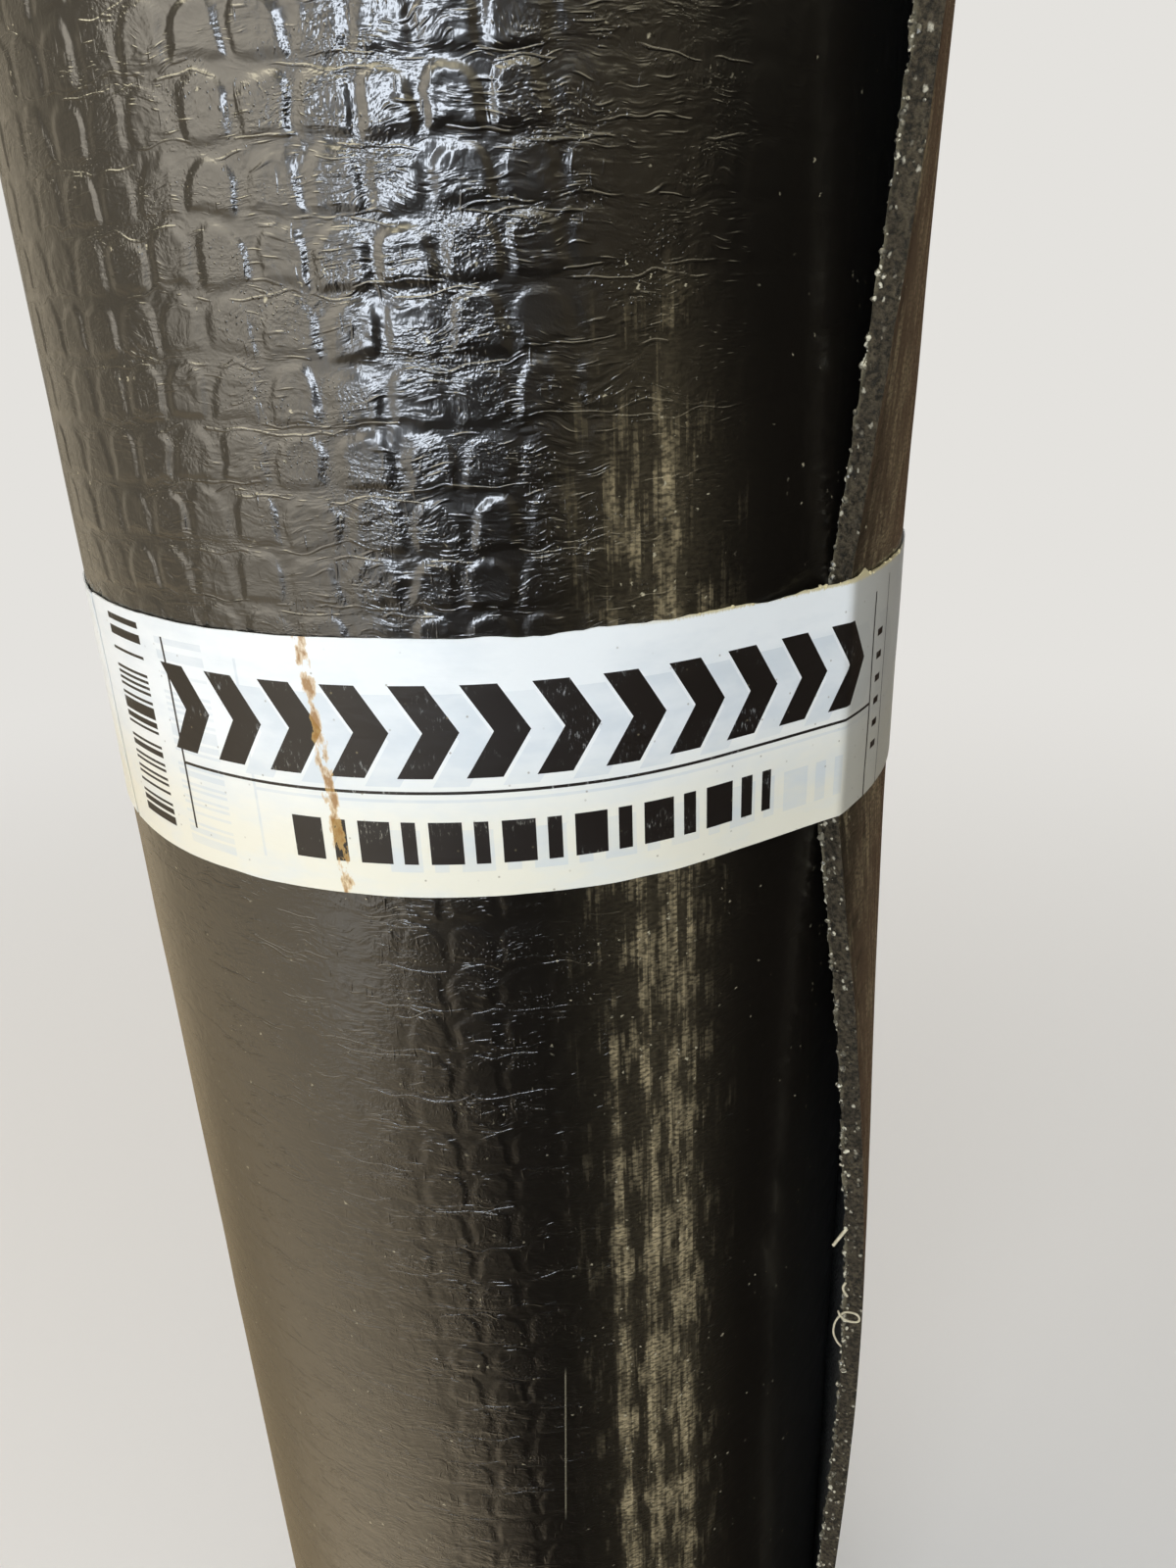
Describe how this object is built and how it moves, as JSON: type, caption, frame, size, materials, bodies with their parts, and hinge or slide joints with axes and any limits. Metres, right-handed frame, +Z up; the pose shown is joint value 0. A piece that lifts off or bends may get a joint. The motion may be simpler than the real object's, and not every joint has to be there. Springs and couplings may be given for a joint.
{
  "type": "roll of roofing felt",
  "caption": "Standing coreless roll of black bitumen roofing felt, film side out, its cut end springing open above and below a white printed tape band.",
  "frame": {"origin": "on the axis of the bore, at the bottom end of the standing roll", "axes": "+Z up along the bore; -Y towards the side that the picture shows, so +X is to its right"},
  "size_m": [0.1891, 0.1855, 1],
  "materials": {
    "bitumen_felt": "glossy film over black bitumen, embossed and wrinkled, dusty in places",
    "band_tape": "satin white printed tape"
  },
  "bodies": {
    "root": {"felt_roll": "bitumen_felt", "wrapping_band": "band_tape"}
  },
  "joints": []
}
